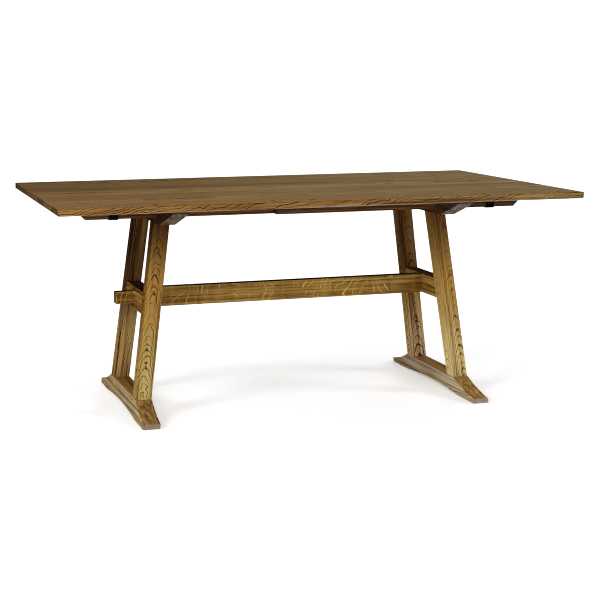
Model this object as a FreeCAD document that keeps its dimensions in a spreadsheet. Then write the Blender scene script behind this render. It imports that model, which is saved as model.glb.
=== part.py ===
import FreeCAD, Part
import math
import os

import Sketcher

# Trestle dining table with four pull-out leaf slides.
# Frame: origin on the floor under the middle of the top, +X along the table's length, +Z up.
# The front is -Y.  "Left" is -X and "right" is +X, seen from the front.
# The table is unchanged by half a turn about Z, so a piece of the left trestle is the
# matching piece of the right trestle turned by 180 degrees.

# ---------------------------------------------------------------- driving dimensions (mm, degrees)
SIZES = {
    # top
    "table_height": 762.0,
    "top_length": 1829.0,
    "top_width": 1067.0,
    "top_thickness": 22.0,
    "board_width_1": 148.0,
    "board_width_2": 160.0,
    "board_width_3": 146.0,
    "board_width_4": 158.0,
    "board_width_5": 147.0,
    "board_width_6": 163.0,
    "board_width_7": 145.0,
    "underside_chamfer": 3.0,
    "upper_arris": 1.2,
    "arris": 1.4,
    # the leaning plane of each trestle
    "trestle_centre_at_floor": 601.9,
    "trestle_lean": 7.745,
    # foot
    "foot_length": 785.0,
    "foot_width": 58.6,
    "foot_height": 64.0,
    "foot_toe_height": 16.6,
    "foot_flat_half": 229.0,
    "foot_scoop_radius": 660.0,
    "foot_arch_half": 255.0,
    "foot_arch_radius": 2610.0,
    # legs
    "leg_width": 56.0,
    "leg_depth": 59.0,
    "leg_centre_at_floor": 199.7,
    "leg_splay": 3.108,
    "leg_tenon_width": 20.0,
    "leg_tenon_depth": 36.0,
    "leg_tenon_length": 38.0,
    "joint_clearance": 0.15,
    # mid rail of each trestle
    "rail_thickness": 48.0,
    "rail_bottom": 349.0,
    "rail_top": 423.0,
    "rail_tenon_thickness": 16.0,
    "rail_tenon_inset": 12.0,
    "rail_tenon_length": 28.0,
    # stretcher and its tusk keys
    "stretcher_thickness": 35.0,
    "stretcher_bottom": 352.0,
    "stretcher_top": 422.0,
    "stub_thickness": 31.0,
    "stub_bottom": 368.0,
    "stub_top": 411.0,
    "stub_reach": 644.0,
    "stub_chamfer": 2.5,
    "key_width": 12.0,
    "key_bottom": 361.0,
    "key_top": 420.5,
    "key_thickness_bottom": 8.6,
    "key_thickness_top": 13.5,
    "key_clearance": 0.2,
    "key_draw": 3.0,
    # head cleat
    "cleat_width": 56.0,
    "cleat_bottom": 672.0,
    "cleat_half_length": 460.0,
    "cleat_flat_half": 277.0,
    "cleat_tip_height": 12.6,
    "cleat_screw_spacing": 105.0,
    "cleat_screw_height": 706.0,
    # leaf slides
    "slide_width": 35.0,
    "slide_bottom": 692.5,
    "slide_clearance": 0.5,
    "slide_outer_end": 794.0,
    "slide_inner_end": 122.0,
    "slide_row_outer": 244.8,
    "slide_row_inner": 206.1,
    "slide_outer_bevel": 17.0,
    "slide_inner_bevel": 3.0,
    "stop_inset": 25.0,
    "stop_drop": 14.5,
    "stop_diameter": 10.0,
    "stop_embedded": 22.0,
    "stop_proud": 13.0,
    # slide keepers
    "keeper_centre": 683.0,
    "keeper_length": 31.0,
    "keeper_gauge": 2.4,
    "keeper_flange": 19.0,
    # screws
    "keeper_screw_diameter": 4.0,
    "keeper_screw_head": 8.0,
    "keeper_screw_head_height": 2.4,
    "keeper_screw_length": 16.0,
    "cleat_screw_diameter": 5.0,
    "cleat_screw_head": 10.0,
    "cleat_screw_head_height": 3.0,
    "cleat_screw_length": 50.0,
    "cleat_screw_tip": 755.0,
    "cleat_screw_hole": 5.5,
    "cleat_counterbore": 13.0,
}

BOARD_COUNT = 7
HALF_TURN = 180.0
SIDES = ("", "-")
NEAR = 0.01

# ---------------------------------------------------------------- often-used expressions
LEAN = "tan(Sizes.trestle_lean * 1 deg)"
SPLAY = "tan(Sizes.leg_splay * 1 deg)"
ALONG = "cos(Sizes.trestle_lean * 1 deg)"
TOP_BOTTOM = "(Sizes.table_height - Sizes.top_thickness)"
SLIDE_TOP = f"({TOP_BOTTOM} - Sizes.slide_clearance)"
SLOT_FLOOR = "(Sizes.slide_bottom - Sizes.slide_clearance)"
CLEAT_SCREW_X = f"(Sizes.trestle_centre_at_floor - Sizes.cleat_screw_height * {LEAN})"
CLEAT_SCREW_SEAT = "(Sizes.cleat_screw_tip - Sizes.cleat_screw_length)"
KEEPER_INNER_HALF = "(Sizes.slide_width / 2 + Sizes.slide_clearance)"
KEEPER_OUTER_HALF = f"({KEEPER_INNER_HALF} + Sizes.keeper_gauge)"
KEEPER_SCREW_OFFSET = f"({KEEPER_OUTER_HALF} + Sizes.keeper_flange / 2)"
KEY_TAPER = (
    "((Sizes.key_thickness_top - Sizes.key_thickness_bottom)"
    " / (Sizes.key_top - Sizes.key_bottom))"
)

doc = FreeCAD.newDocument("TrestleDiningTable")
sheet = doc.addObject("Spreadsheet::Sheet", "Sizes")
for row, (alias, size) in enumerate(SIZES.items(), start=1):
    sheet.set(f"A{row}", alias)
    sheet.set(f"B{row}", str(size))
    sheet.setAlias(f"B{row}", alias)
doc.recompute()

PARTS = []


# ---------------------------------------------------------------- helpers
def number(expression):
    """The present value of an expression of the sheet's cells."""
    result = sheet.evalExpression(str(expression))
    return float(getattr(result, "Value", result))


def new_body(label, half_turn=False, offset_y=None):
    """An empty body; a left-hand piece is turned by half a turn about Z."""
    body = doc.addObject("PartDesign::Body", label)
    body.Label = label
    angle = HALF_TURN if half_turn else 0.0
    body.Placement = FreeCAD.Placement(
        FreeCAD.Vector(0, 0, 0), FreeCAD.Rotation(FreeCAD.Vector(0, 0, 1), angle)
    )
    if offset_y is not None:
        body.setExpression("Placement.Base.y", offset_y)
    PARTS.append(body)
    return body


def origin_plane(body, role):
    for feature in body.Origin.OriginFeatures:
        if feature.Role == role:
            return feature
    raise ValueError(f"{body.Label} has no {role}")


def new_sketch(body, name, role, offset=None):
    """A sketch on an origin plane of the body, moved along its normal by an expression."""
    sketch = body.newObject("Sketcher::SketchObject", name)
    sketch.AttachmentSupport = [(origin_plane(body, role), "")]
    sketch.MapMode = "FlatFace"
    if offset is not None:
        sketch.setExpression(".AttachmentOffset.Base.z", offset)
    return sketch


def trestle_sketch(body, name):
    """A sketch in the right trestle's leaning plane: first axis Y, second axis up the lean."""
    sketch = new_sketch(body, name, "YZ_Plane", "Sizes.trestle_centre_at_floor")
    sketch.AttachmentOffset = FreeCAD.Placement(
        FreeCAD.Vector(0, 0, number("Sizes.trestle_centre_at_floor")),
        FreeCAD.Rotation(FreeCAD.Vector(-1, 0, 0), number("Sizes.trestle_lean")),
    )
    sketch.setExpression(".AttachmentOffset.Rotation.Angle", "Sizes.trestle_lean * 1 deg")
    return sketch


def up_the_lean(height):
    """The distance up the leaning plane of a point at this height above the floor."""
    return f"({height}) / {ALONG}"


def arc_between(start, end, radius, bulge_left):
    """An arc from start to end; bulge_left says which side of the chord it swells to."""
    chord = end - start
    middle = (start + end) * 0.5
    left = FreeCAD.Vector(-chord.y, chord.x, 0).normalize()
    rise = math.sqrt(radius * radius - chord.Length * chord.Length / 4.0)
    centre = middle - left * rise if bulge_left else middle + left * rise
    first, last = (end, start) if bulge_left else (start, end)
    angle_first = math.atan2(first.y - centre.y, first.x - centre.x)
    angle_last = math.atan2(last.y - centre.y, last.x - centre.x)
    circle = Part.Circle(centre, FreeCAD.Vector(0, 0, 1), radius)
    return Part.ArcOfCircle(circle, angle_first, angle_last)


def bind_constraint(sketch, kind, references, expression):
    """Add a dimension and bind it to an expression of the sheet's cells."""
    index = sketch.addConstraint(Sketcher.Constraint(kind, *references, number(expression)))
    sketch.setExpression(f"Constraints[{index}]", expression)


def draw_loop(sketch, points, arcs=None):
    """A closed outline through the points; arcs maps an edge's index to (radius, bulge_left)."""
    arcs = arcs or {}
    places = [FreeCAD.Vector(number(x), number(y), 0) for x, y in points]
    edges = []
    for i, start in enumerate(places):
        end = places[(i + 1) % len(places)]
        if i in arcs:
            radius, bulge_left = arcs[i]
            edge = sketch.addGeometry(arc_between(start, end, number(radius), bulge_left), False)
            edges.append((edge, 2, 1) if bulge_left else (edge, 1, 2))
        else:
            edge = sketch.addGeometry(Part.LineSegment(start, end), False)
            edges.append((edge, 1, 2))
    for i, (edge, _, end_point) in enumerate(edges):
        following, start_point, _ = edges[(i + 1) % len(edges)]
        sketch.addConstraint(
            Sketcher.Constraint("Coincident", edge, end_point, following, start_point)
        )
    for (edge, start_point, _), (x, y) in zip(edges, points):
        bind_constraint(sketch, "DistanceX", (-1, 1, edge, start_point), x)
        bind_constraint(sketch, "DistanceY", (-1, 1, edge, start_point), y)
    for i, (radius, _) in arcs.items():
        bind_constraint(sketch, "Radius", (edges[i][0],), radius)


def mirrored(points):
    """The same points on the other side of the middle, in the opposite order."""
    return [(f"-{x}", y) for x, y in reversed(points)]


def draw_rectangle(sketch, left, right, bottom, top):
    draw_loop(sketch, [(left, bottom), (right, bottom), (right, top), (left, top)])


def draw_circles(sketch, centres, diameter):
    for x, y in centres:
        place = FreeCAD.Vector(number(x), number(y), 0)
        circle = Part.Circle(place, FreeCAD.Vector(0, 0, 1), number(diameter) / 2.0)
        edge = sketch.addGeometry(circle, False)
        bind_constraint(sketch, "Diameter", (edge,), diameter)
        bind_constraint(sketch, "DistanceX", (-1, 1, edge, 3), x)
        bind_constraint(sketch, "DistanceY", (-1, 1, edge, 3), y)


def extrude(body, kind, sketch, length, symmetric=False, reverse=False, along_x=False):
    """A Pad or Pocket of the sketch; along_x runs it along X even from a leaning sketch."""
    volume_before = body.Shape.Volume if body.Shape and not body.Shape.isNull() else 0.0
    feature = body.newObject(f"PartDesign::{kind}", f"{kind}_{sketch.Name}")
    feature.Profile = sketch
    feature.SideType = "Symmetric" if symmetric else "One side"
    feature.Reversed = reverse
    if along_x:
        feature.UseCustomVector = True
        feature.Direction = FreeCAD.Vector(1, 0, 0)
        feature.AlongSketchNormal = False
    feature.setExpression("Length", length)
    doc.recompute()
    change = feature.Shape.Volume - volume_before
    if (change <= 0.0) == (kind == "Pad"):
        raise ValueError(f"{feature.Name} changed the volume of {body.Label} by {change}")
    return feature


def pad(body, sketch, length, **options):
    return extrude(body, "Pad", sketch, length, **options)


def pocket(body, sketch, length, **options):
    return extrude(body, "Pocket", sketch, length, **options)


def ease(body, base, wanted, size, kind="Fillet"):
    """Round or chamfer the edges of the base feature for which wanted(edge box, edge) is true."""
    names = []
    for i, edge in enumerate(base.Shape.Edges, start=1):
        if wanted(edge.BoundBox, edge):
            names.append(f"Edge{i}")
    if not names:
        raise ValueError(f"no edge of {base.Name} to ease")
    feature = body.newObject(f"PartDesign::{kind}", f"{kind}_{base.Name}")
    feature.Base = (base, names)
    feature.setExpression("Radius" if kind == "Fillet" else "Size", size)
    doc.recompute()
    return feature


def is_near(a, b):
    return abs(a - b) < NEAR


# ---------------------------------------------------------------- screw places
def keeper_screw_centres():
    """Two screws at each of the four keepers, all under the top."""
    centres = []
    for side in SIDES:
        for row in ("-Sizes.slide_row_outer", "Sizes.slide_row_inner"):
            for flange in ("-", "+"):
                y = f"{side}({row} {flange} {KEEPER_SCREW_OFFSET})"
                centres.append((f"{side}Sizes.keeper_centre", y))
    return centres


def cleat_screw_row(side):
    """The screws of one cleat, in a line between its legs."""
    rows = ("-Sizes.cleat_screw_spacing", "0", "Sizes.cleat_screw_spacing")
    return [(f"{side}{CLEAT_SCREW_X}", row) for row in rows]


def cleat_screw_centres():
    return [centre for side in SIDES for centre in cleat_screw_row(side)]


# ---------------------------------------------------------------- top
def board_edges(board):
    """Front and back edge of a board, counted from the front."""
    ahead = [f"Sizes.board_width_{i}" for i in range(1, board)]
    front = "(-Sizes.top_width / 2" + "".join(f" + {width}" for width in ahead) + ")"
    back = f"({front} + Sizes.board_width_{board})"
    return front, back


def make_board(board):
    """One board of the top, with its own screw holes and its share of the eased rim."""
    body = new_body(f"top_board_{board}")
    front, back = board_edges(board)
    outline = new_sketch(body, f"board_{board}_outline", "XY_Plane", TOP_BOTTOM)
    draw_rectangle(outline, "-Sizes.top_length / 2", "Sizes.top_length / 2", front, back)
    blank = pad(body, outline, "Sizes.top_thickness")

    half_length = number("Sizes.top_length / 2")
    half_width = number("Sizes.top_width / 2")

    def on_rim(box):
        on_end = is_near(abs(box.XMin), half_length) and is_near(box.XLength, 0)
        on_side = is_near(abs(box.YMin), half_width) and is_near(box.YLength, 0)
        return on_end or on_side

    def lower_rim(box, edge):
        return on_rim(box) and is_near(box.ZMax, number(TOP_BOTTOM))

    def upper_rim(box, edge):
        return on_rim(box) and is_near(box.ZMin, number("Sizes.table_height"))

    chamfered = ease(body, blank, lower_rim, "Sizes.underside_chamfer", "Chamfer")
    ease(body, chamfered, upper_rim, "Sizes.upper_arris")

    drilled = (
        ("keeper", keeper_screw_centres(), "Sizes.keeper_screw_diameter",
         "Sizes.keeper_screw_length - Sizes.keeper_gauge"),
        ("cleat", cleat_screw_centres(), "Sizes.cleat_screw_diameter",
         f"Sizes.cleat_screw_tip - {TOP_BOTTOM}"),
    )
    for name, centres, diameter, depth in drilled:
        mine = [c for c in centres if number(front) < number(c[1]) < number(back)]
        if mine:
            holes = new_sketch(body, f"board_{board}_{name}_holes", "XY_Plane", TOP_BOTTOM)
            draw_circles(holes, mine, diameter)
            pocket(body, holes, depth, reverse=True)


# ---------------------------------------------------------------- trestle outlines (Y, height)
def leg_line(height):
    """Distance of a leg's centre line from the table's long centre plane at a height."""
    return f"(Sizes.leg_centre_at_floor - ({height}) * {SPLAY})"


def leg_strip(bottom, top, depth, side):
    """A strip that follows a leg's slope, from one height to another; side is '' or '-'."""
    outline = []
    for height, edge in ((bottom, "+"), (top, "+"), (top, "-"), (bottom, "-")):
        y = f"{side}({leg_line(height)} {edge} ({depth}) / 2)"
        outline.append((y, up_the_lean(height)))
    return outline


def rail_shoulder(height):
    """Half of the mid rail's length at a height, where it meets the leg's sloping face."""
    return f"({leg_line(height)} - Sizes.leg_depth / 2)"


RAIL_TENON_BOTTOM = "(Sizes.rail_bottom + Sizes.rail_tenon_inset)"
RAIL_TENON_TOP = "(Sizes.rail_top - Sizes.rail_tenon_inset)"
RAIL_TENON_END = f"({rail_shoulder('Sizes.rail_top')} + Sizes.rail_tenon_length)"


def tenon_range(shoulder, direction):
    """Lower and upper height of a leg tenon that starts at a shoulder."""
    end = f"({shoulder} {direction} Sizes.leg_tenon_length)"
    return (end, shoulder) if direction == "-" else (shoulder, end)


def mortise_range(shoulder, direction):
    """The tenon's range, a clearance deeper at its blind end."""
    end = f"({shoulder} {direction} (Sizes.leg_tenon_length + Sizes.joint_clearance))"
    return (end, shoulder) if direction == "-" else (shoulder, end)


def cut_leg_mortises(body, name, shoulder, direction):
    """Two blind mortises for the legs' tenons, in a foot or a cleat."""
    low, high = mortise_range(shoulder, direction)
    for place, side in (("front", "-"), ("back", "")):
        sketch = trestle_sketch(body, f"{name}_{place}_mortise")
        depth = "Sizes.leg_tenon_depth + 2 * Sizes.joint_clearance"
        draw_loop(sketch, leg_strip(low, high, depth, side))
        width = "Sizes.leg_tenon_width + 2 * Sizes.joint_clearance"
        pocket(body, sketch, width, symmetric=True, along_x=True)


def make_foot(label, half_turn):
    """The foot: flat between the legs, scooped down to each toe, arched underneath."""
    body = new_body(label, half_turn)
    outline = trestle_sketch(body, f"{label}_outline")
    end = "Sizes.foot_length / 2"
    floor = "0"
    top = up_the_lean("Sizes.foot_height")
    toe = up_the_lean("Sizes.foot_toe_height")
    back_half = [
        ("Sizes.foot_arch_half", floor),
        (end, floor),
        (end, toe),
        ("Sizes.foot_flat_half", top),
    ]
    scoop = ("Sizes.foot_scoop_radius", True)
    arch = ("Sizes.foot_arch_radius", True)
    draw_loop(outline, back_half + mirrored(back_half), {2: scoop, 4: scoop, 7: arch})
    blank = pad(body, outline, "Sizes.foot_width", symmetric=True, along_x=True)
    ease(body, blank, lambda box, edge: not is_near(box.ZMin, 0), "Sizes.arris")
    cut_leg_mortises(body, label, "Sizes.foot_height", "-")


def make_leg(label, half_turn, side):
    """A leg between foot and cleat, leaning two ways, tenoned at both ends."""
    body = new_body(label, half_turn)
    outline = trestle_sketch(body, f"{label}_outline")
    low = "Sizes.foot_height"
    high = "Sizes.cleat_bottom"
    draw_loop(outline, leg_strip(low, high, "Sizes.leg_depth", side))
    blank = pad(body, outline, "Sizes.leg_width", symmetric=True, along_x=True)
    ease(body, blank, lambda box, edge: box.ZLength > number("Sizes.leg_depth"), "Sizes.arris")

    for place, shoulder, direction in (("foot", low, "-"), ("head", high, "+")):
        tenon = trestle_sketch(body, f"{label}_{place}_tenon")
        tenon_low, tenon_high = tenon_range(shoulder, direction)
        draw_loop(tenon, leg_strip(tenon_low, tenon_high, "Sizes.leg_tenon_depth", side))
        pad(body, tenon, "Sizes.leg_tenon_width", symmetric=True, along_x=True)

    mortise = trestle_sketch(body, f"{label}_rail_mortise")
    inner = f"{side}({rail_shoulder('Sizes.rail_bottom')} - Sizes.leg_tenon_length)"
    outer = f"{side}({RAIL_TENON_END} + Sizes.joint_clearance)"
    low = up_the_lean(f"{RAIL_TENON_BOTTOM} - Sizes.joint_clearance")
    high = up_the_lean(f"{RAIL_TENON_TOP} + Sizes.joint_clearance")
    draw_rectangle(mortise, inner, outer, low, high)
    width = "Sizes.rail_tenon_thickness + 2 * Sizes.joint_clearance"
    pocket(body, mortise, width, symmetric=True, along_x=True)


def make_mid_rail(label, half_turn):
    """The rail between a trestle's legs, tenoned into both and pierced for the stretcher."""
    body = new_body(label, half_turn)
    outline = trestle_sketch(body, f"{label}_outline")
    low = "Sizes.rail_bottom"
    high = "Sizes.rail_top"
    back_half = [(rail_shoulder(low), up_the_lean(low)), (rail_shoulder(high), up_the_lean(high))]
    draw_loop(outline, back_half + mirrored(back_half))
    blank = pad(body, outline, "Sizes.rail_thickness", symmetric=True, along_x=True)
    ease(body, blank, lambda box, edge: is_near(box.XLength, 0) and is_near(box.ZLength, 0),
         "Sizes.arris")

    tenon = trestle_sketch(body, f"{label}_tenons")
    draw_rectangle(tenon, f"-{RAIL_TENON_END}", RAIL_TENON_END,
                   up_the_lean(RAIL_TENON_BOTTOM), up_the_lean(RAIL_TENON_TOP))
    pad(body, tenon, "Sizes.rail_tenon_thickness", symmetric=True, along_x=True)

    mortise = trestle_sketch(body, f"{label}_mortise")
    half = "(Sizes.stub_thickness / 2 + Sizes.joint_clearance)"
    draw_rectangle(mortise, f"-{half}", half,
                   up_the_lean("Sizes.stub_bottom - Sizes.joint_clearance"),
                   up_the_lean("Sizes.stub_top + Sizes.joint_clearance"))
    pocket(body, mortise, "2 * Sizes.rail_thickness", symmetric=True, along_x=True)


def slot_sides(row):
    """The two sides of a slide's slot through a cleat, front side first."""
    half = "(Sizes.slide_width / 2 + Sizes.slide_clearance)"
    return f"({row} - {half})", f"({row} + {half})"


def make_cleat(label, half_turn):
    """The cleat under the top: bevelled ends, a slot for each slide, mortises and screw holes."""
    body = new_body(label, half_turn)
    outline = trestle_sketch(body, f"{label}_outline")
    top = up_the_lean(TOP_BOTTOM)
    bottom = up_the_lean("Sizes.cleat_bottom")
    tip = up_the_lean(f"{TOP_BOTTOM} - Sizes.cleat_tip_height")
    end = "Sizes.cleat_half_length"
    back_half = [("Sizes.cleat_flat_half", bottom), (end, tip), (end, top)]
    draw_loop(outline, back_half + mirrored(back_half))
    blank = pad(body, outline, "Sizes.cleat_width", symmetric=True, along_x=True)
    ease(body, blank, lambda box, edge: not is_near(box.ZMax, number(TOP_BOTTOM)), "Sizes.arris")

    for place, row in (("front", "-Sizes.slide_row_outer"), ("back", "Sizes.slide_row_inner")):
        slot = trestle_sketch(body, f"{label}_{place}_slot")
        front_side, back_side = slot_sides(row)
        above = up_the_lean(f"{TOP_BOTTOM} + Sizes.top_thickness")
        draw_rectangle(slot, front_side, back_side, up_the_lean(SLOT_FLOOR), above)
        pocket(body, slot, "2 * Sizes.cleat_width", symmetric=True, along_x=True)

    cut_leg_mortises(body, label, "Sizes.cleat_bottom", "+")

    centres = cleat_screw_row("")
    holes = new_sketch(body, f"{label}_screw_holes", "XY_Plane", "Sizes.cleat_bottom")
    draw_circles(holes, centres, "Sizes.cleat_screw_hole")
    pocket(body, holes, f"{TOP_BOTTOM} - Sizes.cleat_bottom", reverse=True)
    bores = new_sketch(body, f"{label}_counterbores", "XY_Plane", "Sizes.cleat_bottom")
    draw_circles(bores, centres, "Sizes.cleat_counterbore")
    pocket(body, bores, f"{CLEAT_SCREW_SEAT} - Sizes.cleat_bottom", reverse=True)


# ---------------------------------------------------------------- stretcher and keys (X, height)
def rail_face(height, half_thickness):
    """Distance from the middle of the table to a face of the mid rail at a height."""
    return f"(Sizes.trestle_centre_at_floor - ({height}) * {LEAN} + {half_thickness})"


def rail_inner_face(height):
    return rail_face(height, "(-Sizes.rail_thickness / 2)")


def rail_outer_face(height):
    return rail_face(height, "(Sizes.rail_thickness / 2)")


def key_outline(side):
    """The tusk key: inner face along the rail, thicker at the top; side is '' or '-'."""
    corners = []
    ends = (("Sizes.key_bottom", "Sizes.key_thickness_bottom"),
            ("Sizes.key_top", "Sizes.key_thickness_top"))
    for height, thickness in ends:
        inner = f"({rail_outer_face(height)} + Sizes.key_clearance)"
        corners.append((f"{side}{inner}", f"{side}({inner} + {thickness})", height))
    (low_in, low_out, low), (high_in, high_out, high) = corners
    return [(low_in, low), (low_out, low), (high_out, high), (high_in, high)]


def key_mortise(side):
    """The slot for the key: it starts behind the rail's face and follows the key's back."""
    corners = []
    for height in ("Sizes.stretcher_bottom", "Sizes.stretcher_top"):
        face = rail_outer_face(height)
        thickness = f"(Sizes.key_thickness_bottom + ({height} - Sizes.key_bottom) * {KEY_TAPER})"
        outer = f"({face} + {thickness} + 2 * Sizes.key_clearance)"
        corners.append((f"{side}({face} - Sizes.key_draw)", f"{side}{outer}", height))
    (low_in, low_out, low), (high_in, high_out, high) = corners
    return [(low_in, low), (low_out, low), (high_out, high), (high_in, high)]


def make_stretcher():
    """The long stretcher with a stub tenon through each trestle's mid rail."""
    body = new_body("stretcher")
    outline = new_sketch(body, "stretcher_outline", "XZ_Plane")
    low = "Sizes.stretcher_bottom"
    high = "Sizes.stretcher_top"
    right_half = [(rail_inner_face(low), low), (rail_inner_face(high), high)]
    draw_loop(outline, right_half + mirrored(right_half))
    blank = pad(body, outline, "Sizes.stretcher_thickness", symmetric=True)
    ease(body, blank, lambda box, edge: box.XLength > number("Sizes.top_width") / 2, "Sizes.arris")

    stubs = new_sketch(body, "stretcher_stubs", "XZ_Plane")
    draw_rectangle(stubs, "-Sizes.stub_reach", "Sizes.stub_reach",
                   "Sizes.stub_bottom", "Sizes.stub_top")
    through = pad(body, stubs, "Sizes.stub_thickness", symmetric=True)
    reach = number("Sizes.stub_reach")

    def on_stub_end(box, edge):
        return is_near(abs(box.XMin), reach) and is_near(box.XLength, 0)

    ease(body, through, on_stub_end, "Sizes.stub_chamfer", "Chamfer")

    for place, side in (("left", "-"), ("right", "")):
        slot = new_sketch(body, f"stretcher_{place}_key_slot", "XZ_Plane")
        draw_loop(slot, key_mortise(side))
        pocket(body, slot, "Sizes.key_width + 2 * Sizes.key_clearance", symmetric=True)


def make_tusk_key(label, half_turn):
    """The tapered key that holds a stub tenon against the outside of the mid rail."""
    body = new_body(label, half_turn)
    outline = new_sketch(body, f"{label}_outline", "XZ_Plane")
    draw_loop(outline, key_outline(""))
    blank = pad(body, outline, "Sizes.key_width", symmetric=True)
    ease(body, blank, lambda box, edge: is_near(box.ZLength, 0), "Sizes.arris", "Chamfer")


# ---------------------------------------------------------------- leaf slides
def make_slide(label, half_turn, row):
    """A leaf slide that runs outward through a cleat and a keeper."""
    body = new_body(label, half_turn, row)
    outline = new_sketch(body, f"{label}_outline", "XZ_Plane")
    inner = "-Sizes.slide_inner_end"
    outer = "Sizes.slide_outer_end"
    low = "Sizes.slide_bottom"
    draw_loop(outline, [
        (f"{inner} + Sizes.slide_inner_bevel", low),
        (f"{outer} - Sizes.slide_outer_bevel", low),
        (outer, f"{low} + Sizes.slide_outer_bevel"),
        (outer, SLIDE_TOP),
        (inner, SLIDE_TOP),
        (inner, f"{low} + Sizes.slide_inner_bevel"),
    ])
    blank = pad(body, outline, "Sizes.slide_width", symmetric=True)
    ease(body, blank, lambda box, edge: is_near(box.YLength, 0), "Sizes.arris")

    bore = new_sketch(body, f"{label}_stop_bore", "XZ_Plane", "Sizes.slide_width / 2")
    draw_circles(bore, [stop_centre()], "Sizes.stop_diameter")
    pocket(body, bore, "Sizes.stop_embedded")


def stop_centre():
    """Place of the stop dowel in the slide's own X and height."""
    x = "(-Sizes.slide_inner_end + Sizes.stop_inset)"
    return x, f"({SLIDE_TOP} - Sizes.stop_drop)"


def make_slide_stop(label, half_turn, row):
    """The dowel that meets the cleat when the slide is fully out."""
    body = new_body(label, half_turn, row)
    face = new_sketch(body, f"{label}_section", "XZ_Plane",
                      "Sizes.slide_width / 2 - Sizes.stop_embedded")
    draw_circles(face, [stop_centre()], "Sizes.stop_diameter")
    dowel = pad(body, face, "Sizes.stop_embedded + Sizes.stop_proud")
    front = number("-Sizes.slide_width / 2 - Sizes.stop_proud")
    ease(body, dowel, lambda box, edge: is_near(box.YMax, front), "Sizes.upper_arris", "Chamfer")


def make_keeper(label, half_turn, row):
    """The bent steel strap that holds a slide up near the end of the top."""
    body = new_body(label, half_turn, row)
    section = new_sketch(body, f"{label}_section", "YZ_Plane",
                         "Sizes.keeper_centre - Sizes.keeper_length / 2")
    inner = KEEPER_INNER_HALF
    outer = KEEPER_OUTER_HALF
    brim = f"({outer} + Sizes.keeper_flange)"
    top = TOP_BOTTOM
    flange = f"({TOP_BOTTOM} - Sizes.keeper_gauge)"
    floor = f"({SLOT_FLOOR} - Sizes.keeper_gauge)"
    outside = [(brim, top), (brim, flange), (outer, flange), (outer, floor)]
    inside = [(inner, SLOT_FLOOR), (inner, top)]
    draw_loop(section, outside + mirrored(outside) + mirrored(inside) + inside)
    strap = pad(body, section, "Sizes.keeper_length")
    bend = number(floor)
    ease(body, strap, lambda box, edge: is_near(box.ZMax, bend) and is_near(box.YLength, 0),
         "Sizes.keeper_gauge")

    holes = new_sketch(body, f"{label}_screw_holes", "XY_Plane", TOP_BOTTOM)
    centres = [("Sizes.keeper_centre", f"{side}{KEEPER_SCREW_OFFSET}") for side in SIDES]
    draw_circles(holes, centres, "Sizes.keeper_screw_diameter")
    pocket(body, holes, "Sizes.keeper_gauge")


# ---------------------------------------------------------------- screws
def make_screws(label, centres, seat, length, diameter, head, head_height):
    """A group of equal screws: heads below the seat, shanks above it."""
    body = new_body(label)
    shanks = new_sketch(body, f"{label}_shanks", "XY_Plane", seat)
    draw_circles(shanks, centres, diameter)
    pad(body, shanks, length)
    heads = new_sketch(body, f"{label}_heads", "XY_Plane", seat)
    draw_circles(heads, centres, head)
    crowns = pad(body, heads, head_height, reverse=True)
    bottom = number(f"{seat} - {head_height}")
    ease(body, crowns, lambda box, edge: is_near(box.ZMin, bottom) and is_near(box.ZLength, 0),
         f"{head_height} / 3")


# ---------------------------------------------------------------- assembly
for board_number in range(1, BOARD_COUNT + 1):
    make_board(board_number)

for hand, turned in (("left", True), ("right", False)):
    make_foot(f"foot_{hand}", turned)
    make_mid_rail(f"mid_rail_{hand}", turned)
    make_cleat(f"head_cleat_{hand}", turned)
    make_tusk_key(f"tusk_key_{hand}", turned)
    for depth_name, is_front in (("front", True), ("back", False)):
        place = f"{depth_name}_{hand}"
        # half a turn swaps front and back, so a left-hand front leg is built as a back leg
        leg_side = "-" if is_front != turned else ""
        make_leg(f"leg_{place}", turned, leg_side)
        # right-going slides run in the outer row at the front and the inner row at the back
        rows = ("Sizes.slide_row_outer", "Sizes.slide_row_inner")
        row_name = rows[0] if is_front != turned else rows[1]
        row_y = f"-{row_name}" if is_front else row_name
        make_slide(f"leaf_slide_{place}", turned, row_y)
        make_slide_stop(f"slide_stop_{place}", turned, row_y)
        make_keeper(f"slide_keeper_{place}", turned, row_y)

make_stretcher()
make_screws("keeper_screws", keeper_screw_centres(), f"({TOP_BOTTOM} - Sizes.keeper_gauge)",
            "Sizes.keeper_screw_length", "Sizes.keeper_screw_diameter",
            "Sizes.keeper_screw_head", "Sizes.keeper_screw_head_height")
make_screws("cleat_screws", cleat_screw_centres(), CLEAT_SCREW_SEAT,
            "Sizes.cleat_screw_length", "Sizes.cleat_screw_diameter",
            "Sizes.cleat_screw_head", "Sizes.cleat_screw_head_height")

# ---------------------------------------------------------------- checks and export
doc.recompute()
for item in doc.Objects:
    if "Invalid" in item.State or "Error" in item.State:
        raise RuntimeError(f"{item.Label} did not recompute: {item.State}")

os.makedirs("parts", exist_ok=True)
for part in PARTS:
    shape = part.Shape
    if shape.isNull() or not shape.isValid() or not shape.Solids:
        raise RuntimeError(f"{part.Label} has no valid solid")
for part in PARTS:
    part.Shape.exportStep(os.path.join("parts", f"{part.Label}.step"))
    box = part.Shape.BoundBox
    print(f"{part.Label:26s} solids {len(part.Shape.Solids):2d}  "
          f"x {box.XMin:8.1f} {box.XMax:8.1f}  y {box.YMin:7.1f} {box.YMax:7.1f}  "
          f"z {box.ZMin:6.1f} {box.ZMax:6.1f}")
print(f"{len(PARTS)} nodes")
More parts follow.
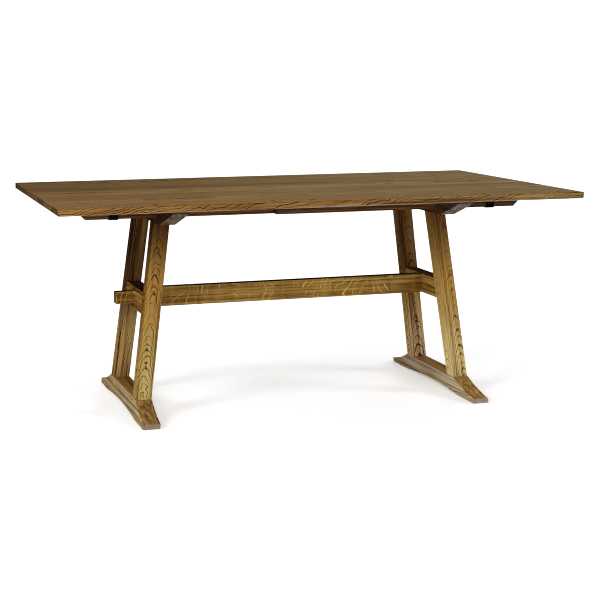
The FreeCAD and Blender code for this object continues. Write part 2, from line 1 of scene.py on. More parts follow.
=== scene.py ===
import math
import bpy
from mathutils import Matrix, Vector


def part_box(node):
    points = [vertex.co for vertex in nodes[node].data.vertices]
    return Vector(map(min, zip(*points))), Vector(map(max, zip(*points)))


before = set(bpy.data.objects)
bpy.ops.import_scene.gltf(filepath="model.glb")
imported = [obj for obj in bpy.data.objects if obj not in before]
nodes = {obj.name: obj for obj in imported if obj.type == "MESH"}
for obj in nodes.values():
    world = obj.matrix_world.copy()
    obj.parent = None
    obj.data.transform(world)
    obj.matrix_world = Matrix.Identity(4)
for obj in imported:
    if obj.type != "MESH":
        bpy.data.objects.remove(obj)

from types import SimpleNamespace

import bpy
from mathutils import Matrix, Vector

scene = bpy.context.scene
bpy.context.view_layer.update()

# ---------------------------------------------------------------- camera

CAMERA_PLACE = Vector((-1.58646, -5.10360, 1.22913))
CAMERA_YAW = 0.309586  # radians from the straight look along +Y, towards +X
CAMERA_PITCH = 0.163792  # radians below the horizon
CAMERA_ROLL = -0.003197
CAMERA_REACH = 200.0
FILM_MM = 36.0
LENS_MM = 88.291


def make_camera():
    ahead = Vector((
        math.sin(CAMERA_YAW) * math.cos(CAMERA_PITCH),
        math.cos(CAMERA_YAW) * math.cos(CAMERA_PITCH),
        -math.sin(CAMERA_PITCH),
    ))
    level = Vector((math.cos(CAMERA_YAW), -math.sin(CAMERA_YAW), 0))
    upright = level.cross(ahead)
    right = math.cos(CAMERA_ROLL) * level + math.sin(CAMERA_ROLL) * upright
    up = math.cos(CAMERA_ROLL) * upright - math.sin(CAMERA_ROLL) * level
    data = bpy.data.cameras.new("camera")
    data.sensor_width = FILM_MM
    data.lens = LENS_MM
    data.clip_end = CAMERA_REACH
    camera = bpy.data.objects.new("camera", data)
    scene.collection.objects.link(camera)
    turn = Matrix((right, up, -ahead)).transposed().to_4x4()
    camera.matrix_world = Matrix.Translation(CAMERA_PLACE) @ turn
    scene.camera = camera


make_camera()

# ---------------------------------------------------------------- node helper


def linear(*srgb):
    """A colour given as 0 to 255, as the linear colour that shaders use."""
    def channel(c):
        c /= 255
        return c / 12.92 if c <= 0.04045 else ((c + 0.055) / 1.055) ** 2.4
    return tuple(channel(c) for c in srgb) + (1.0,)


class Tree:
    """A material's nodes, made by short calls that each give back a socket."""

    def __init__(self, name):
        self.material = bpy.data.materials.new(name)
        self.material.use_nodes = True
        self.tree = self.material.node_tree
        self.tree.nodes.clear()

    def add(self, kind, inputs=None, **settings):
        node = self.tree.nodes.new(kind)
        for key, value in settings.items():
            setattr(node, key, value)
        for key, value in (inputs or {}).items():
            self.put(node.inputs[key], value)
        return node

    def put(self, socket, value):
        if isinstance(value, bpy.types.NodeSocket):
            self.tree.links.new(value, socket)
        else:
            socket.default_value = value

    def math(self, operation, *values, clamp=False):
        node = self.add("ShaderNodeMath", operation=operation, use_clamp=clamp)
        for i, value in enumerate(values):
            self.put(node.inputs[i], value)
        return node.outputs[0]

    def vector(self, operation, *values, result="Vector"):
        node = self.add("ShaderNodeVectorMath", operation=operation)
        for i, value in enumerate(values):
            self.put(node.inputs[i], value)
        return node.outputs[result]

    def join(self, x=0.0, y=0.0, z=0.0):
        return self.add("ShaderNodeCombineXYZ", {"X": x, "Y": y, "Z": z}).outputs[0]

    def total(self, first, *terms):
        """first plus each (socket, amount) times its amount."""
        value = first
        for socket, amount in terms:
            value = self.math("MULTIPLY_ADD", socket, amount, value)
        return value

    def hashed(self, value):
        """An even random number from 0 to 1 for each whole value."""
        node = self.add("ShaderNodeTexWhiteNoise", {"W": value}, noise_dimensions="1D")
        return node.outputs["Value"]

    def noise(self, at, stretch, detail=2.0, roughness=0.5, colour=False):
        """Noise around 0, at a point scaled by stretch."""
        placed = self.vector("MULTIPLY", at, stretch)
        node = self.add(
            "ShaderNodeTexNoise",
            {"Vector": placed, "Scale": 1.0, "Detail": detail, "Roughness": roughness},
        )
        if colour:
            return self.vector("SUBTRACT", node.outputs["Color"], (0.5, 0.5, 0.5))
        return self.math("SUBTRACT", node.outputs[0], 0.5)

    def step(self, value, low, high, to_low=0.0, to_high=1.0):
        """A smooth step of value, from low to high."""
        ends = {"From Min": low, "From Max": high, "To Min": to_low, "To Max": to_high}
        node = self.add(
            "ShaderNodeMapRange", {"Value": value, **ends}, interpolation_type="SMOOTHSTEP",
        )
        return node.outputs["Result"]

    def ramp(self, value, stops):
        node = self.add("ShaderNodeValToRGB", {"Fac": value})
        elements = node.color_ramp.elements
        while len(elements) < len(stops):
            elements.new(0.5)
        for element, (place, colour) in zip(elements, stops):
            element.position = place
            element.color = colour
        return node.outputs["Color"]

    def mix(self, share, first, second, blend="MIX"):
        node = self.add("ShaderNodeMix", data_type="RGBA", blend_type=blend, clamp_factor=True)
        sockets = [s for s in node.inputs if s.enabled]
        for socket, value in zip(sockets, (share, first, second)):
            self.put(socket, value)
        return [s for s in node.outputs if s.enabled][0]

    def tinted(self, share, colour, tint):
        """colour, times tint where share is 1."""
        return self.mix(share, colour, self.mix(1.0, colour, (*tint, 1.0), "MULTIPLY"))

    def facing(self, normal, direction):
        """The cosine between the normal and a direction."""
        unit = tuple(Vector(direction).normalized())
        return self.vector("DOT_PRODUCT", normal, unit, result="Value")

    def finish(self, colour, roughness, height, relief, **fixed):
        """Ends the tree in a Principled shader. fixed are its even values, by socket name."""
        bump = self.add("ShaderNodeBump", {"Height": height, "Strength": 1.0, "Distance": relief})
        shader = self.add(
            "ShaderNodeBsdfPrincipled",
            {"Base Color": colour, "Roughness": roughness, "Normal": bump.outputs[0]},
        )
        for key, value in fixed.items():
            shader.inputs[key.replace("_", " ")].default_value = value
        output = self.add("ShaderNodeOutputMaterial")
        self.tree.links.new(shader.outputs[0], output.inputs[0])
        return self.material


# ---------------------------------------------------------------- oak

STOPS = (0.0, 0.3, 0.5, 0.7, 1.0)  # where the five tones lie, from dark to light
SEED_STEPS = (3.17, 1.73, 2.41)
WARM_TINT = (1.0, 0.93, 0.72)
WARM_SHARE = 0.5
GLOSS = 0.42
RELIEF_DEPTH = 0.0006
FACE_EDGE = (0.6, 0.9)  # cosines between which a face tint comes in
END_EDGE = (0.55, 0.85)
END_SPOTS = 2.2
FADE_RAGGEDNESS = 0.06
KNOT_STRETCH = 0.4
UNEVEN_RATE = 70
EARLY_WIDTH, EARLY_LUCK = 0.16, 0.30  # share of a year with early wood, and what luck adds
EARLY_START, EARLY_FADE = 0.06, 0.3
PORE_START, PORE_EARLY, PORE_EDGE = 0.20, -0.12, 0.05
RAY_RATE, RAY_DRIFT = 42.0, 10.0  # rays per metre, and how many of them a drift crosses
RAY_HALF = (0.03, 0.11)  # half of a ray's width, from its full strength to its end
RAY_BREAKS = (-0.04, 0.10)

LAYERS = {
    # noise rate along and across the fibres, per metre, then its detail and roughness
    "dashes": (38.0, 330.0, 1.0, 0.5),
    "patches": (5.0, 30.0, 1.0, 0.5),
    "fine": (5.0, 210.0, 3.0, 0.7),
    "middle": (2.4, 95.0, 2.0, 0.6),
    "wide": (0.9, 16.0, 2.0, 0.5),
    "mottle": (9.0, 30.0, 2.0, 0.5),
    "pores": (60.0, 1500.0, 1.0, 0.5),
    "warmth": (1.6, 24.0, 1.0, 0.5),
}

OAK = {
    "tint": (1, 1, 1),
    "base": 0.62,  # the usual place along the tones
    "ring": 0.004,  # width of one year
    "taper": 0.0,  # shift of the rings per metre along the piece, which draws arches
    "wander": 0.012,  # how far the heart wanders
    "reach": 1.3,  # rate of the wander along the piece
    "across": 0.4,  # and across it
    "bends": 1.0,  # and its detail
    "ripple": 0.0012,  # small waves in the rings
    "ripple_rate": 32.0,
    "uneven_rings": 3.0,
    "lines": 0.5,  # darkness of the early wood
    "line_width": 1.0,
    "streaks": 0.9,
    "streak_rate": 1.0,
    "fibres": 0.9,
    "cloud": 0.35,  # wide and soft changes
    "fleck": 0.0,  # strength of the rays
    "fleck_tone": None,
    "end_tone": None,
    "end_share": 0.8,
    "calm": (),  # (direction, share) of faces with a quieter figure
    "faces": (),  # (direction, tint): painted light and shade, and the tone of board ends, on faces that look that way
    "fades": (),  # (direction, start, end, tint): painted light and shade along a direction
    "knots": (),  # (place, size)
    "sheen": 0.08,
}


def wood_frame(t, place, along, pith):
    """The place as seen from the pith, with X along the fibres."""
    helper = Vector((0, 0, 1)) if abs(along.z) < 0.5 else Vector((0, 1, 0))
    side = helper.cross(along).normalized()
    turn = Matrix((along, side, along.cross(side))).transposed().to_euler()
    return t.add(
        "ShaderNodeMapping",
        {"Vector": place, "Location": pith, "Rotation": turn},
        vector_type="TEXTURE",
    ).outputs[0]


def layer(t, at, name, rate=1.0):
    along, across, detail, roughness = LAYERS[name]
    return t.noise(at, (along, across * rate, across * rate), detail, roughness)


def make_rings(t, local, at, seed, look):
    """The years, by distance from the heart, which wanders along the trunk."""
    bend = t.noise(at, (look.reach, look.across, look.across), look.bends, 0.6, colour=True)
    dent = t.noise(at, (look.ripple_rate, 22.0, 22.0), 2.5, 0.55, colour=True)
    run = t.add("ShaderNodeSeparateXYZ", {"Vector": local}).outputs["X"]
    crossing = t.vector("MULTIPLY", local, (0, 1, 1))
    crossing = t.vector("MULTIPLY_ADD", bend, (0, look.wander * 2, look.wander * 2), crossing)
    crossing = t.vector("MULTIPLY_ADD", dent, (0, look.ripple * 4, look.ripple * 4), crossing)
    radius = t.total(t.vector("LENGTH", crossing, result="Value"), (run, look.taper))
    uneven = t.noise(t.join(radius, seed), (UNEVEN_RATE, 1, 1), detail=1.0)
    phase = t.total(t.math("DIVIDE", radius, look.ring), (uneven, look.uneven_rings))
    within = t.math("FRACT", phase)
    year = t.hashed(t.math("ADD", t.math("FLOOR", phase), seed))
    close = t.math(
        "MULTIPLY_ADD", year, EARLY_LUCK * look.line_width, EARLY_WIDTH * look.line_width,
    )
    closing = t.step(within, t.math("MULTIPLY", close, EARLY_FADE), close, 1.0, 0.0)
    early = t.math("MULTIPLY", t.step(within, 0.0, EARLY_START), closing)
    return SimpleNamespace(run=run, crossing=crossing, radius=radius, year=year, early=early)


def make_rays(t, rings, seed, strength):
    """Rays stand out from the heart, thin and long, and flash where a cut runs along them."""
    parts = t.add("ShaderNodeSeparateXYZ", {"Vector": rings.crossing})
    angle = t.math("ARCTAN2", parts.outputs["Y"], parts.outputs["Z"])
    at = t.vector("ADD", t.join(rings.run, rings.radius, angle), (seed, seed, seed))
    drift = t.noise(at, (7.0, 7.0, 6.0), detail=1.5)
    band = t.noise(at, (34.0, 3.0, 3.0), detail=1.0)
    rank = t.total(0.0, (rings.run, RAY_RATE), (drift, RAY_DRIFT))
    order = t.hashed(t.math("FLOOR", rank))
    broken = t.step(t.noise(at, (9.0, 22.0, 9.0), detail=1.0), *RAY_BREAKS)
    beside = t.math("SUBTRACT", t.math("FRACT", rank), 0.5)
    crest = t.step(t.math("ABSOLUTE", beside), *RAY_HALF, 1.0, 0.0)
    bright = t.math("MULTIPLY_ADD", order, strength, 0.1)
    flash = t.math("MULTIPLY", t.math("MULTIPLY", crest, broken), bright)
    return flash, band


def tinted_tone(srgb, tint):
    return tuple(c * k for c, k in zip(linear(*srgb), (*tint, 1.0)))


def oak(name, grain, pith, tones, seed, **changes):
    """Stained and varnished oak, as a solid pattern in the piece's own frame.

    grain is the way the fibres run, pith a point on the heart of the tree, both in the row frame
    and in metres. tones are five colours from dark to light. changes go over OAK.
    """
    look = SimpleNamespace(**{**OAK, **changes})
    t = Tree(name)
    along = Vector(grain).normalized()
    coordinates = t.add("ShaderNodeTexCoord")
    place, normal = coordinates.outputs["Object"], coordinates.outputs["Normal"]
    local = wood_frame(t, place, along, pith)
    at = t.vector("ADD", local, tuple(seed * step for step in SEED_STEPS))

    rings = make_rings(t, local, at, seed, look)
    patchy = t.math(
        "MULTIPLY",
        t.math("MULTIPLY_ADD", rings.year, 1.1, 0.4),
        t.total(1.0, (layer(t, at, "dashes"), 1.0), (layer(t, at, "patches"), 1.6)),
    )
    lines = t.math("MULTIPLY", rings.early, patchy)
    fine = layer(t, at, "fine", look.streak_rate)
    middle = layer(t, at, "middle", look.streak_rate)
    mottle = layer(t, at, "mottle")
    pore_start = t.math("MULTIPLY_ADD", rings.early, PORE_EARLY, PORE_START)
    pore = t.step(t.math("SUBTRACT", layer(t, at, "pores"), pore_start), 0.0, PORE_EDGE)

    tone = t.total(
        look.base, (lines, -look.lines), (fine, look.fibres), (middle, look.streaks),
        (layer(t, at, "wide"), look.cloud * 2.0), (mottle, look.cloud * 0.6), (pore, -0.175),
    )
    relief = t.total(0.0, (lines, -0.25), (pore, -0.6), (fine, 0.5), (middle, 0.25))
    rough = t.total(GLOSS, (lines, 0.08), (pore, 0.2), (mottle, 0.12), (fine, 0.08))
    for spot, size in look.knots:
        stretch = tuple(KNOT_STRETCH if abs(c) > 0.5 else 1.0 for c in along)
        away = t.vector("MULTIPLY", t.vector("SUBTRACT", place, spot), stretch)
        far = t.math("MULTIPLY_ADD", mottle, size, t.vector("LENGTH", away, result="Value"))
        knot = t.step(far, 0.0, size, 1.0, 0.0)
        tone = t.total(tone, (knot, -0.8))
        relief = t.total(relief, (knot, -0.2))
    if look.fleck:
        flash, band = make_rays(t, rings, seed, look.fleck)
        tone = t.total(tone, (band, 0.5))
        rough = t.total(rough, (flash, -0.10))
        relief = t.total(relief, (flash, 0.15))
    for direction, share in look.calm:
        quiet = t.math("MULTIPLY", t.step(t.facing(normal, direction), *FACE_EDGE), share)
        tone = t.math("MULTIPLY_ADD", t.math("SUBTRACT", look.base - 0.05, tone), quiet, tone)
    tone = t.math("MINIMUM", t.math("MAXIMUM", tone, 0.0), 1.0)

    stops = [(stop, tinted_tone(srgb, look.tint)) for stop, srgb in zip(STOPS, tones)]
    colour = t.ramp(tone, stops)
    warmth = t.step(layer(t, at, "warmth"), -0.2, 0.2)
    colour = t.tinted(t.math("MULTIPLY", warmth, WARM_SHARE), colour, WARM_TINT)
    if look.fleck:
        colour = t.mix(flash, colour, tinted_tone(look.fleck_tone, look.tint))
    if look.end_tone:
        cut = t.step(t.math("ABSOLUTE", t.facing(normal, along)), *END_EDGE)
        spots = t.noise(at, (4.0, 70.0, 110.0), detail=3.0, roughness=0.7)
        share = t.math("MULTIPLY_ADD", spots, END_SPOTS, look.end_share, clamp=True)
        colour = t.mix(t.math("MULTIPLY", cut, share), colour, linear(*look.end_tone))
        rough = t.total(rough, (cut, 0.15))
    # face tints: painted light and shade by the way a face looks
    for direction, shade in look.faces:
        colour = t.tinted(t.step(t.facing(normal, direction), *FACE_EDGE), colour, shade)
    # fades: painted light and shade along the piece
    for direction, start, end, shade in look.fades:
        height = t.vector("DOT_PRODUCT", place, direction, result="Value")
        height = t.math("MULTIPLY_ADD", mottle, FADE_RAGGEDNESS, height)
        share = t.step(height, start, end) if start < end else t.step(height, end, start, 1.0, 0.0)
        colour = t.tinted(share, colour, shade)
    return t.finish(colour, rough, relief, RELIEF_DEPTH, Specular_IOR_Level=look.sheen)


def wear(node, material):
    """Gives a CAD node the material."""
    for slot in nodes[node].material_slots:
        slot.link = "OBJECT"
        slot.material = material


def wear_oak(node, *args, **changes):
    wear(node, oak(node, *args, **changes))


# ---------------------------------------------------------------- wooden pieces

LEAN = math.radians(7.745)
SPLAY = math.radians(3.108)
HANDS = {"left": -1, "right": 1}
DEPTHS = {"front": -1, "back": 1}
UP, FORWARD = (0, 0, 1), (0, -1, 0)
LEFTWARD = (-1, 0, 0)  # the end faces of both trestles that the photograph shows look this way
LENGTHWISE, CROSSWISE = (1, 0, 0), (0, 1, 0)
SEEDS = {
    "leg": 3.1, "slide": 7.3, "foot": 11.2, "cleat": 13.4, "rail": 17.6, "key": 19.1,
    "stretcher": 23.5, "board": 29.3, "dowel": 41.0,
}
BOARD_SEED_STEP = 2.7

# Tones are sRGB colours, 0 to 255, from dark to light.
LEG_TONES = ((74, 44, 16), (108, 74, 28), (156, 122, 60), (178, 148, 78), (200, 172, 98))
BACK_LEG_TONES = ((52, 28, 10), (78, 49, 19), (122, 92, 50), (154, 124, 74), (184, 158, 98))
STRETCHER_TONES = ((70, 42, 12), (110, 79, 34), (132, 99, 46), (148, 115, 55), (170, 140, 72))
TOP_TONES = ((70, 50, 26), (98, 76, 46), (110, 88, 54), (120, 98, 62), (142, 118, 78))
EDGE_TONES = ((44, 18, 8), (100, 64, 28), (132, 92, 42), (156, 116, 56), (182, 142, 74))
FOOT_TONES = ((70, 50, 28), (118, 94, 58), (140, 117, 76), (156, 134, 90), (186, 168, 122))
CLEAT_TONES = ((46, 28, 14), (72, 48, 28), (84, 58, 36), (94, 68, 44), (112, 84, 56))
SLIDE_TONES = ((42, 20, 5), (64, 37, 12), (76, 47, 19), (86, 54, 24), (104, 70, 34))
RAIL_TONES = ((60, 34, 8), (98, 66, 24), (118, 84, 34), (132, 99, 44), (154, 122, 60))
BEECH_TONES = ((110, 80, 45), (130, 98, 58), (145, 112, 70), (156, 124, 80), (170, 138, 92))
DARK_END = (60, 40, 20)

LEGS = {
    # the heart from the leg's middle, the tones, and the changes to OAK. The leftward face tints
    # are painted light and shade, and the fades are painted shade, darker upwards under the top, on
    # back_left lifted again near the top.
    "front_left": ((-0.004, 0.006), LEG_TONES, {
        "tint": (1.085, 1.215, 1.52), "ring": 0.0042, "taper": 0.13, "wander": 0.008, "reach": 9.0,
        "across": 9.0, "ripple": 0.0013, "ripple_rate": 60.0, "lines": 0.42, "streaks": 1.3,
        "faces": [(LEFTWARD, (0.815, 0.775, 0.758))],
        "fades": [(UP, 0.10, 0.45, (0.85, 0.62, 0.40)), (UP, 0.46, 0.70, (0.28, 0.19, 0.11))],
    }),
    "back_left": ((0.070, 0.030), BACK_LEG_TONES, {
        "tint": (0.96, 0.90, 0.89), "ring": 0.0046, "taper": 0.03, "wander": 0.012, "reach": 4.0,
        "across": 7.0, "ripple": 0.0011, "lines": 0.9, "streaks": 2.6,
        "faces": [(LEFTWARD, (0.735, 0.64, 0.585))],
        "fades": [(UP, 0.22, 0.42, (0.36, 0.275, 0.20)), (UP, 0.50, 0.66, (1.75, 1.8, 2.1))],
    }),
    "front_right": ((0.014, 0.004), LEG_TONES, {
        "tint": (1.20, 1.33, 2.10), "ring": 0.0044, "taper": 0.15, "wander": 0.008, "reach": 8.0,
        "across": 9.0, "ripple": 0.0011, "lines": 0.34, "streaks": 1.3,
        "calm": [(LEFTWARD, 0.5)], "faces": [(LEFTWARD, (1.46, 1.63, 1.66))],
        "fades": [(UP, 0.10, 0.42, (0.72, 0.56, 0.33)), (UP, 0.39, 0.70, (0.42, 0.30, 0.19))],
    }),
    "back_right": ((0.004, 0.008), BACK_LEG_TONES, {
        "tint": (1.38, 1.48, 2.40), "ring": 0.0046, "taper": 0.13, "wander": 0.009, "reach": 9.0,
        "across": 9.0, "ripple": 0.0011, "lines": 0.62, "streaks": 1.9,
        "calm": [(LEFTWARD, 0.3)], "faces": [(LEFTWARD, (1.10, 1.06, 0.80))],
        "fades": [(UP, 0.08, 0.30, (0.80, 0.70, 0.45)), (UP, 0.26, 0.44, (0.46, 0.35, 0.24))],
    }),
}
LEG = {"uneven_rings": 1.0, "bends": 3.0, "line_width": 0.85, "base": 0.70, "end_tone": DARK_END}

SLIDES = {
    "left": {
        "tint": (2.30, 2.10, 1.35), "streaks": 2.5, "streak_rate": 1.3, "fibres": 1.1, "base": 0.62,
    },
    "right": {
        "tint": (1.86, 1.91, 1.63), "streaks": 3.9, "streak_rate": 0.9, "fibres": 2.3, "base": 0.76,
    },
}
SLIDE = {
    "lines": 0.8, "cloud": 0.1, "end_tone": (30, 18, 8),
    # The fades are painted light and shade along the slides: lighter in the open part, a painted
    # shadow under the head cleats, and lighter again at the outer ends.
    "fades": [
        (LENGTHWISE, -0.02, 0.10, (1.30, 1.30, 1.32)), (LENGTHWISE, 0.34, 0.54, (0.34, 0.28, 0.25)),
        (LENGTHWISE, 0.60, 0.76, (1.3, 1.4, 1.4)), (LENGTHWISE, -0.34, -0.52, (0.68, 0.62, 0.61)),
        (LENGTHWISE, -0.60, -0.76, (1.6, 1.9, 2.0)),
    ],
}

# The feet's fades are painted light, paler towards the front end; their upper faces carry painted
# shade and their leftward faces painted light.
FEET = {
    "left": {
        "tint": (0.86, 0.82, 0.76), "streaks": 2.3, "end_tone": (128, 104, 83),
        "fades": [(FORWARD, -0.10, 0.42, (1.35, 1.50, 1.75))],
        "faces": [(UP, (0.76, 0.55, 0.35)), (LEFTWARD, (1.15, 1.18, 1.39))],
    },
    "right": {
        "tint": (0.93, 0.92, 0.93), "streaks": 2.1, "end_tone": (142, 122, 117),
        "fades": [(FORWARD, -0.10, 0.42, (1.30, 1.34, 1.29))],
        "faces": [(UP, (0.84, 0.65, 0.44)), (LEFTWARD, (1.29, 1.39, 2.05))],
    },
}
FOOT = {
    "ring": 0.0045, "taper": 0.04, "wander": 0.008, "reach": 6.0, "across": 7.0, "bends": 3.0,
    "line_width": 0.8, "ripple": 0.0018, "ripple_rate": 55.0, "lines": 0.42,
}
FOOT_PITH = (0.615, 0.005)  # X and Z, as for the piths below

# Painted light and shade on the head cleats: the bevels are tinted much paler and bluer as a
# painted reflection of the floor, the leftward sides darker as painted shade under the top.
CLEAT_BEVELS = ((0, -1, -1), (0, 1, -1))
CLEATS = {
    "left": {"bevel": (1.46, 1.99, 3.20), "side": (0.53, 0.51, 0.60)},
    "right": {"bevel": (2.10, 3.45, 7.30), "side": (0.75, 0.71, 0.70)},
}
CLEAT = {"lines": 0.4, "streaks": 2.2, "fibres": 1.6, "sheen": 0.0, "end_tone": (60, 46, 32)}
CLEAT_PITH = (0.45, 0.62)

# The right rail is tinted lighter than the left, as painted light on its face.
RAILS = {
    "left": {"tint": (1.04, 0.99, 1.05), "streaks": 1.9},
    "right": {"tint": (1.73, 1.72, 1.64), "streaks": 2.9},
}
# The upper faces' tint is painted shade under the top, nearly black.
RAIL = {
    "lines": 0.4, "cloud": 0.6, "ring": 0.0045, "wander": 0.008, "reach": 6.0, "across": 6.0,
    "bends": 3.0, "faces": [(UP, (0.115, 0.078, 0.14))], "end_tone": DARK_END,
}
RAIL_PITH = (0.45, 0.36)
KEY_PITH = (0.6, 0.05, 0.4)
SLIDE_HEART = (0.03, -0.12)  # Y and Z from the slide's middle


def dress_legs_and_slides():
    for hand, x_sign in HANDS.items():
        for depth, y_sign in DEPTHS.items():
            place = depth + "_" + hand
            turn = x_sign + 0.5 * y_sign
            lowest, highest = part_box("leg_" + place)
            middle = (lowest + highest) / 2
            heart, tones, changes = LEGS[place]
            grain = (-x_sign * math.tan(LEAN), -y_sign * math.tan(SPLAY), 1)
            pith = (middle.x + heart[0], middle.y + heart[1], middle.z)
            wear_oak("leg_" + place, grain, pith, tones, SEEDS["leg"] + turn, **LEG, **changes)

            lowest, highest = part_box("leaf_slide_" + place)
            middle = (lowest + highest) / 2
            pith = (0, middle.y + SLIDE_HEART[0], middle.z + SLIDE_HEART[1])
            wear_oak(
                "leaf_slide_" + place, LENGTHWISE, pith, SLIDE_TONES, SEEDS["slide"] + turn,
                **SLIDE, **SLIDES[hand],
            )


def dress_trestles():
    for hand, x_sign in HANDS.items():
        foot, cleat, rail = ((x_sign * x, 0, z) for x, z in (FOOT_PITH, CLEAT_PITH, RAIL_PITH))
        wear_oak(
            "foot_" + hand, CROSSWISE, foot, FOOT_TONES, SEEDS["foot"] + x_sign,
            **FOOT, **FEET[hand],
        )
        shades = CLEATS[hand]
        faces = [(bevel, shades["bevel"]) for bevel in CLEAT_BEVELS] + [(LEFTWARD, shades["side"])]
        wear_oak(
            "head_cleat_" + hand, CROSSWISE, cleat, CLEAT_TONES, SEEDS["cleat"] + x_sign,
            faces=faces, **CLEAT,
        )
        wear_oak(
            "mid_rail_" + hand, CROSSWISE, rail, RAIL_TONES, SEEDS["rail"] + x_sign,
            **RAIL, **RAILS[hand],
        )
        x, y, z = KEY_PITH
        wear_oak(
            "tusk_key_" + hand, (-x_sign * math.tan(LEAN), 0, 1), (x_sign * x, y, z),
            RAIL_TONES, SEEDS["key"] + x_sign, end_tone=DARK_END,
        )


def dress_stretcher():
    wear_oak(
        "stretcher", LENGTHWISE, (0, 0.01, 0.10), STRETCHER_TONES, SEEDS["stretcher"],
        tint=(1.70, 1.74, 1.80), ring=0.0035, wander=0.004, ripple=0.0006, lines=0.5,
        streaks=1.4, streak_rate=1.4, fleck=1.0, fleck_tone=(200, 168, 84), end_tone=(50, 33, 15),
        # The upper face is painted shade under the top, nearly black, and the fades are painted
        # shade near both ends, by the legs.
        faces=[(UP, (0.085, 0.06, 0.065))],
        fades=[
            (LENGTHWISE, -0.22, -0.42, (0.75, 0.71, 0.68)),
            (LENGTHWISE, 0.33, 0.41, (0.72, 0.70, 0.68)),
        ],
    )


# ---------------------------------------------------------------- top

BOARDS = {
    # tint, streaks, and how light the ends are, from the front board to the back one
    1: ((0.76, 0.69, 0.69), 1.4, 1.0),
    2: ((1.65, 1.54, 1.56), 0.9, 1.1),
    3: ((1.45, 1.31, 1.39), 1.1, 0.6),
    4: ((1.64, 1.57, 1.59), 1.1, 0.8),
    5: ((1.07, 0.985, 0.995), 0.9, 1.2),
    6: ((1.16, 1.11, 1.14), 1.4, 0.75),
    7: ((1.02, 0.985, 0.965), 1.8, 0.75),
}
BOARD = {"sheen": 0.10, "end_tone": (52, 28, 12), "end_share": 0.45}
END_SHADE = (0.95, 0.90, 0.86)
BOARD_FADE = (0.923, 1.087, 1.308)  # the painted reflection along the top: the tint at the right end, and what each next board adds
BOARD_FADE_STEP = (0.077, 0.078, 0.092)
# The four front boards take the painted reflection's tint at 0.88.
FRONT_BOARDS, FRONT_FADE = 4, 0.88
FRONT_EDGE = {
    "cloud": 0.12, "wander": 0.020, "reach": 7.0, "across": 9.0, "bends": 3.0, "ring": 0.0062,
    "taper": -0.16, "lines": 1.1, "line_width": 0.9, "uneven_rings": 1.0, "calm": [(UP, 0.75)],
}
PLAIN_BOARD = {"cloud": 0.3, "wander": 0.03, "reach": 0.9, "lines": 0.35, "streak_rate": 1.2}
# Painted light on the front board's faces: a painted highlight along the chamfer, and the front and
# upper faces tinted apart, the upper one paler and bluer as a painted reflection.
EDGE_FACES = [
    ((0, -1, -0.75), (1.95, 4.27, 17.9)),  # the chamfer under the front edge, a painted highlight
    (FORWARD, (0.834, 0.446, 0.123)),
    (UP, (1.45, 1.9, 3.1)),
]
KNOTS = {4: [((0.735, 0.012, 0.762), 0.020), ((-0.369, 0.015, 0.762), 0.018)]}
FADE_HALF = 0.9  # the painted reflection along the top runs from -FADE_HALF to FADE_HALF
EDGE_PITH_X, EDGE_HEART = 0.6, (0.050, -0.045)  # Y from the front edge, Z from the middle
BOARD_HEART = (0.02, -0.10)  # Y, to alternate sides, and Z, from the board's middle


def dress_top():
    for i, (tint, streaks, lightness) in BOARDS.items():
        low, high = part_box("top_board_%d" % i)
        middle = (low + high) / 2
        ends = [((x, 0, 0), tuple(k * lightness for k in END_SHADE)) for x in (-1, 1)]
        if i == 1:
            pith = (EDGE_PITH_X, low.y + EDGE_HEART[0], middle.z + EDGE_HEART[1])
            tones, figure, faces = EDGE_TONES, FRONT_EDGE, EDGE_FACES + ends
        else:
            pith = (0, middle.y + BOARD_HEART[0] * (-1) ** i, middle.z + BOARD_HEART[1])
            tones, figure, faces = TOP_TONES, PLAIN_BOARD, ends
        # The fade is a painted reflection, paler and bluer towards the right end.
        strength = FRONT_FADE if i <= FRONT_BOARDS else 1.0
        shade = tuple(strength * (c + i * d) for c, d in zip(BOARD_FADE, BOARD_FADE_STEP))
        wear_oak(
            "top_board_%d" % i, LENGTHWISE, pith, tones, SEEDS["board"] + BOARD_SEED_STEP * i,
            tint=tint, streaks=streaks, faces=faces, knots=KNOTS.get(i, ()),
            fades=[(LENGTHWISE, -FADE_HALF, FADE_HALF, shade)], **BOARD, **figure,
        )


# ---------------------------------------------------------------- fittings

GRIT_RATE, WEAR_RATE = 900.0, 60.0
STEEL_SHEEN = 0.15
STEEL_RELIEF = 0.0002
WORN_EDGE = (0.02, 0.25)
WORN_GAIN, WORN_LIFT = 1.8, 0.01  # how much paler a worn place is
DOWEL_PITH = (0, 0.3, 0.6)


def steel(name, srgb, roughness, metallic):
    """Painted or plated steel, paler where it is worn."""
    t = Tree(name)
    at = t.add("ShaderNodeTexCoord").outputs["Object"]
    grit = t.noise(at, (GRIT_RATE,) * 3, detail=2.0)
    worn = t.noise(at, (WEAR_RATE,) * 3, detail=3.0)
    colour = linear(*srgb)
    pale = tuple(min(1.0, c * WORN_GAIN + WORN_LIFT) for c in colour[:3]) + (1.0,)
    tint = t.mix(t.step(worn, *WORN_EDGE), colour, pale)
    rough = t.total(roughness, (grit, 0.15), (worn, 0.2))
    return t.finish(
        tint, rough, grit, STEEL_RELIEF, Metallic=metallic, Specular_IOR_Level=STEEL_SHEEN,
    )


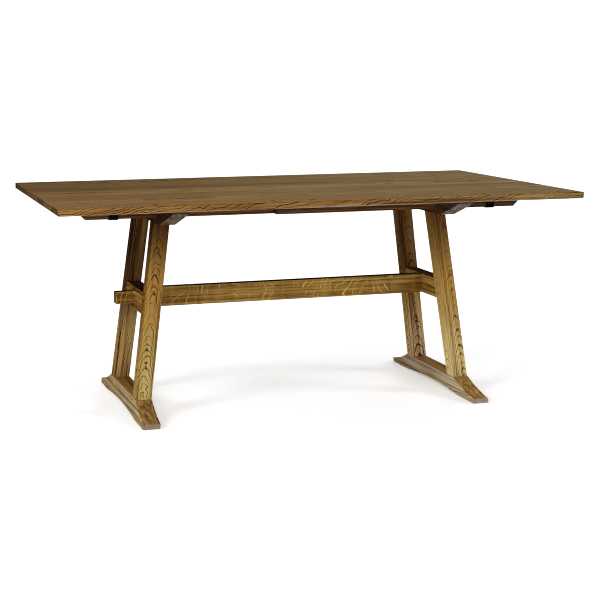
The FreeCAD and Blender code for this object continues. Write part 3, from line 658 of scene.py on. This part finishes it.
def dress_fittings():
    black = steel("black_steel", (14, 11, 9), 0.5, 0.0)
    beech = oak("dowel_beech", CROSSWISE, DOWEL_PITH, BEECH_TONES, SEEDS["dowel"], lines=0.2)
    for node in nodes:
        if node.startswith("slide_keeper_"):
            wear(node, black)
        elif node.startswith("slide_stop_"):
            wear(node, beech)
    wear("keeper_screws", steel("black_screw", (20, 18, 17), 0.4, 0.6))
    wear("cleat_screws", steel("zinc_screw", (176, 172, 160), 0.32, 1.0))


dress_legs_and_slides()
dress_trestles()
dress_stretcher()
dress_top()
dress_fittings()

# ---------------------------------------------------------------- studio

FLOOR_HALF = 60.0
FLOOR_DROP = 0.0005
FLOOR_GLOW = 0.35  # only the camera sees it
FLOOR_TINTS = ((0.880, 0.893, 0.910, 1.0), (0.895, 0.908, 0.925, 1.0))
WORLD_SEEN, WORLD_LIGHT = 1.1, 0.48
SUN_SPREAD = 22
SUNS = [
    # azimuth in degrees from the front towards +X, height, strength, whether reflections show it
    ("left", -60, 25, 0.37, False),
    ("left_high", -60, 40, 0.06, False),
    ("left_side", -90, 40, 0.08, False),
    ("right", 60, 25, 0.33, True),
    ("back_left", -150, 40, 0.125, False),
    ("back_right", 150, 25, 0.14, False),
]
IMAGE_FILTER = 1.1


def make_floor():
    """A pale floor, clear from below, whose shadows are lifted for the camera alone."""
    mesh = bpy.data.meshes.new("floor")
    h = FLOOR_HALF
    mesh.from_pydata([(-h, -h, 0), (h, -h, 0), (h, h, 0), (-h, h, 0)], [], [(0, 1, 2, 3)])
    floor = bpy.data.objects.new("floor", mesh)
    scene.collection.objects.link(floor)
    floor.location.z = -FLOOR_DROP
    floor.visible_glossy = False
    t = Tree("floor")
    at = t.add("ShaderNodeTexCoord").outputs["Object"]
    faint = t.noise(at, (3.0, 3.0, 3.0))
    tint = t.mix(t.step(faint, -0.3, 0.3), *FLOOR_TINTS)
    seen = t.add("ShaderNodeLightPath").outputs["Is Camera Ray"]
    glow = t.math("MULTIPLY", seen, FLOOR_GLOW)
    shader = t.add(
        "ShaderNodeBsdfPrincipled",
        {"Base Color": tint, "Roughness": 0.9, "Emission Strength": glow},
    )
    shader.inputs["Specular IOR Level"].default_value = 0.0
    shader.inputs["Emission Color"].default_value = (1, 1, 1, 1)
    clear = t.add("ShaderNodeBsdfTransparent")
    under = t.add("ShaderNodeNewGeometry").outputs["Backfacing"]
    both = t.add("ShaderNodeMixShader", {0: under, 1: shader.outputs[0], 2: clear.outputs[0]})
    output = t.add("ShaderNodeOutputMaterial")
    t.tree.links.new(both.outputs[0], output.inputs[0])
    mesh.materials.append(t.material)


def make_sun(name, azimuth, height, strength, shiny):
    """A far, soft lamp."""
    data = bpy.data.lights.new(name, "SUN")
    data.energy = strength * math.pi
    data.angle = math.radians(SUN_SPREAD)
    sun = bpy.data.objects.new(name, data)
    scene.collection.objects.link(sun)
    sun.visible_glossy = shiny
    turn, rise = math.radians(azimuth), math.radians(height)
    toward = Vector((
        math.sin(turn) * math.cos(rise), -math.cos(turn) * math.cos(rise), math.sin(rise),
    ))
    sun.rotation_mode = "QUATERNION"
    sun.rotation_quaternion = toward.to_track_quat("Z", "Y")


def make_lights():
    world = bpy.data.worlds.new("studio")
    world.use_nodes = True
    tree = world.node_tree
    background = tree.nodes["Background"]
    background.inputs["Color"].default_value = (1, 1, 1, 1)
    seen = tree.nodes.new("ShaderNodeLightPath").outputs["Is Camera Ray"]
    strength = tree.nodes.new("ShaderNodeMapRange")
    strength.inputs["To Min"].default_value = WORLD_LIGHT
    strength.inputs["To Max"].default_value = WORLD_SEEN
    tree.links.new(seen, strength.inputs["Value"])
    tree.links.new(strength.outputs["Result"], background.inputs["Strength"])
    scene.world = world
    world.cycles_visibility.glossy = False
    for sun in SUNS:
        make_sun(*sun)


make_floor()
make_lights()
scene.view_settings.view_transform = "Standard"
scene.view_settings.look = "None"
scene.cycles.filter_width = IMAGE_FILTER
